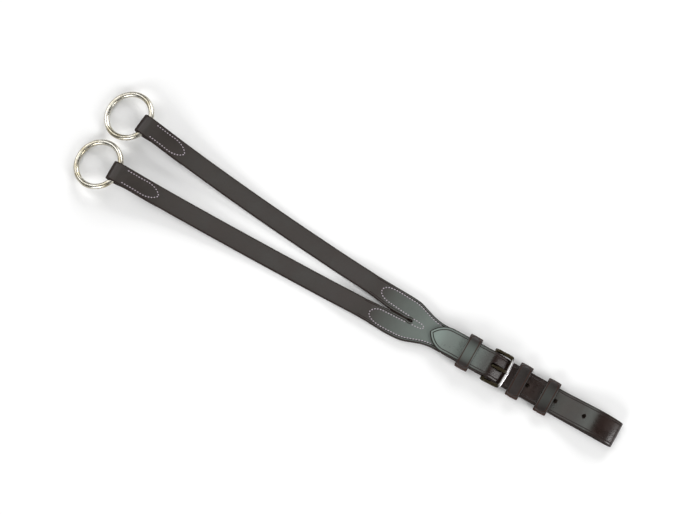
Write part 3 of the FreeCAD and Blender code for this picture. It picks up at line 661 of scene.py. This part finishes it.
frame_side = [(-2.2, 16.5, 2.9), (0, 17, 3.4), (7, 17, 3.5), (13.5, 17, 3.5),
              (17.3, 16.3, 3.6), (19.1, 13.8, 3.6), (19.9, 8, 3.5), (20.4, 0, 3.4)]
frame_side += [(x, -y, thick) for x, y, thick in reversed(frame_side[:-1])]


def painted_reflections(along, across, inset):
    """Painted reflections: bright at the front bar and the tongue's tip as a painted highlight,
    painted dark towards the hinge bar.
    """
    return min(1.0, max(0.0, (along - 17.4) / 1.4))


def frame_edges(along, index):
    return -1.6, 1.6, 1.1, 1.1


staple = lay_strap("staple", fair(frame_side, 0.8), frame_edges, frame_place, crown=0.0,
                   inset_at=painted_reflections)
bpy.ops.object.select_all(action="DESELECT")
bpy.ops.mesh.primitive_cylinder_add(vertices=32, radius=1.8 * mm, depth=31 * mm,
                                    location=from_bar(0, 0, bar_up), rotation=(math.pi / 2, 0, 0))
pin = bpy.context.object
bpy.ops.object.transform_apply(location=True, rotation=True, scale=True)
close_up(staple, nickel_plate)
close_up(pin, nickel_plate)
buckle = join([staple, pin], "buckle_staple")
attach(buckle, "buckle_frame")
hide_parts("buckle_frame")

curl_radius = 3.4
curl = [(curl_radius * math.cos(math.radians(a)), curl_radius * math.sin(math.radians(a)), 1.35)
        for a in range(-50, -271, -40)]
tongue_side = curl + [(0.3, curl_radius, 1.4), (3.5, 3.55, 2.0), (9, 4.75, 2.1),
                      (16.4, 6.6, 2.0), (19, 7.1, 1.8), (20.3, 7.0, 1.4)]


def tongue_edges(along, index):
    half = 1.7 - 0.4 * max(0.0, along - 8) / 12
    return -half, half, 0.65, 0.65


def tongue_place(along, across, up):
    return from_bar(along, across, bar_up + up)


tongue = lay_strap("buckle_tongue_wire", fair(tongue_side, 0.7), tongue_edges, tongue_place,
                   crown=0.0, inset_at=painted_reflections)
close_up(tongue, nickel_plate)
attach(tongue, "buckle_tongue")
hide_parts("buckle_tongue")


# Keepers: three closed loops of thinner leather, lapped and sewn underneath. The first is fast
# behind the buckle. The other two slide on the doubled billet.

keeper_leather = bridle_leather("waxed_keeper_leather", "1b100c", "150c08", "2e160a", 2.9, 0.48,
                                crease_depth=0.12)
keeper_half = 17.0
keeper_width = 13.0
keeper_thick = 2.0
inset_shift = 1.2
# Each keeper as name, body, place along from the hinge bar, bottom, top, and how much painted sheen
# its top gets, a reflection of the lamp painted into the colour.
keepers = (
    ("fixed_keeper", "stem", -22.5, 0.3, 16.3, 0.5),
    ("buckle_keeper", "buckle_keeper", 32.0, 0.0, 12.4, 0.0),
    ("loop_keeper", "loop_keeper", 62.0, 0.0, 10.8, 0.13),
)
for label, body, at, low, high, painted_sheen in keepers:
    tall = high - low
    under = [(0, 0.0), (-9, 0.0), (-13.2, 0.012 * tall), (-15.9, 0.12 * tall),
             (-17.15, 0.32 * tall)]
    side_up = [(-17.4, 0.52 * tall), (-17.1, 0.74 * tall), (-15.8, 0.91 * tall), (-13, 0.985 * tall),
               (-7, tall), (0, tall + 0.15)]
    left = [(y, low + up, keeper_thick) for y, up in under + side_up]
    loop_line = fair(left + [(-y, up, thick) for y, up, thick in reversed(left[:-1])], 0.9)

    def keeper_edges(along, index):
        return -keeper_width / 2, keeper_width / 2, 0.8, 0.8

    def keeper_place(across, along, up, at=at):
        return from_bar(at + along, across, up)

    def keeper_inset(across, along, inset):
        """Edge colour and a dull finish on the rounded ends, fading out over 3.5 mm. Elsewhere the
        inset is raised by 1.2 mm, so the long edges get less edge colour.
        """
        return (inset + inset_shift) * min(1.0, max(0.0, (keeper_half - abs(across)) / 3.5))

    # Painted sheen on the top half of the loop, strongest in the middle.
    def keeper_painted_sheen(across, up, low=low, high=high, painted_sheen=painted_sheen):
        return painted_sheen * max(0.0, 1 - (across / 12) ** 2) if up > (low + high) / 2 else 0.0

    keeper = lay_strap(f"{label}_leather", loop_line, keeper_edges, keeper_place, crown=0.25,
                       closed=True, inset_at=keeper_inset, painted_sheen_at=keeper_painted_sheen)
    close_up(keeper, keeper_leather)
    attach(keeper, body)
    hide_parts(label)


# Stitches: waxed linen thread, hand sewn with two needles, so that each stitch leans a little
# and dips into its holes. The rows show on the grain side of the arms, fork and stem.

waxed_linen = bpy.data.materials.new("waxed_linen_thread")
waxed_linen.use_nodes = True
tree = waxed_linen.node_tree
tree.nodes.clear()
place = node(tree, "TexCoord").outputs["Object"]
fibres = node(tree, "TexNoise", {"Vector": place, "Scale": 1 / (0.3 * mm), "Detail": 3}).outputs["Fac"]
handled = node(tree, "TexNoise", {"Vector": place, "Scale": 1 / (9 * mm), "Detail": 2}).outputs["Fac"]
tint = node(tree, "Mix", {0: handled, 6: dye("c6bbc6"), 7: dye("9a8d97")}, data_type="RGBA").outputs[2]
bump = node(tree, "Bump", {"Height": fibres, "Strength": 0.5, "Distance": 0.08 * mm}).outputs[0]
shader = node(tree, "BsdfPrincipled", {"Base Color": tint, "Roughness": 0.6, "Sheen Weight": 0.3,
                                       "Normal": bump})
node(tree, "OutputMaterial", {"Surface": shader.outputs[0]})

stitch_pitch = 2.8
stitch_lean = math.radians(10)
stitch_depth = 0.1
bead_size = (0.85 * mm, 0.5 * mm, 0.45 * mm)


def sew(name, rows, height, place):
    """Stitches one pitch apart along rows, lying on a surface whose height is given along it."""
    made = []
    for row in rows:
        line = fair([(*point, 0) for point in row], 0.2)[:, :2]
        run = np.append(0, np.cumsum(np.hypot(*np.diff(line, axis=0).T)))
        count = int(run[-1] / stitch_pitch)
        for index in range(count):
            ends = []
            for reach in (-0.5, 0.5):
                at = (index + 0.5 + reach) * stitch_pitch
                x, y = np.interp(at, run, line[:, 0]), np.interp(at, run, line[:, 1])
                ends.append(Vector(place(x, y, height(x))))
            heading = ends[1] - ends[0]
            bpy.ops.mesh.primitive_uv_sphere_add(segments=8, ring_count=6, radius=1.0,
                                                 location=(ends[0] + ends[1]) / 2)
            bead = bpy.context.object
            bead.scale = bead_size
            bead.rotation_euler = heading.to_track_quat("X", "Z").to_euler()
            bead.rotation_euler.rotate_axis("Z", stitch_lean)
            made.append(bead)
    thread = join(made, name)
    bpy.ops.object.transform_apply(location=True, rotation=True, scale=True)
    bpy.ops.object.shade_smooth()
    thread.data.materials.append(waxed_linen)
    return thread


def arm_height(x):
    return arm_top(x + arm_length) - stitch_depth


def fork_height(x):
    top = fork_line[:int(np.argmax(fork_line[:, 0]))]
    return float(np.interp(x, top[:, 0], top[:, 1])) - stitch_depth


far_row = [(-57, 9.75), (-66, 11.35), (-75, 14.3), (-84.5, 17.35), (-99, 18.55), (-110, 19.0),
           (-117.5, 18.2), (-122.4, 15.7), (-123.6, 12.6), (-122.2, 9.4), (-117, 6.5),
           (-108, 5.2), (-98, 4.25), (-88, 3.4)]
near_row = [(-57, -9.75), (-66, -11.35), (-75, -14.3), (-84.5, -17.35), (-99, -18.55),
            (-110, -18.6), (-117.5, -17.2), (-122.4, -14.6), (-123.8, -11.4), (-122.2, -8.0),
            (-117, -5.0), (-108, -4.2), (-98, -3.7), (-88, -3.4)]
crotch_row = [(-84.3, 2.8), (-79, 2.6), (-74.3, 2.1), (-71.6, 1.3), (-70.8, 0), (-71.6, -1.3),
              (-74.3, -2.1), (-79, -2.6), (-84.3, -2.8)]
chape_rows = [[(-15, y), (-25, y), (-36, y)] for y in (9.7, -9.7)]
for label, rows in (("far_tab_stitches", [far_row]), ("near_tab_stitches", [near_row]),
                    ("crotch_stitches", [crotch_row]), ("chape_stitches", chape_rows)):
    thread = sew(f"{label}_linen", rows, fork_height, from_bar)
    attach(thread, "stem")
    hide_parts(label)

eye_start = -arm_length + 9
eye_side = [(0, 6.5), (14, 6.5), (26, 6.4), (30.5, 5.2), (34.5, 2.8)]
eye_row = [(eye_start + x, y) for x, y in eye_side]
eye_row += [(eye_start + 37.0, 0)]
eye_row += [(eye_start + x, -y) for x, y in reversed(eye_side)]
for side in ("near", "far"):
    thread = sew(f"{side}_eye_stitches_linen", [eye_row], arm_height, arms[side])
    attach(thread, f"{side}_arm")
    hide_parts(f"{side}_eye_stitches")
for label, *_ in keepers:
    sewn = frame["nodes"][f"{label}_stitches"]
    sewn.data.materials.clear()
    sewn.data.materials.append(waxed_linen)
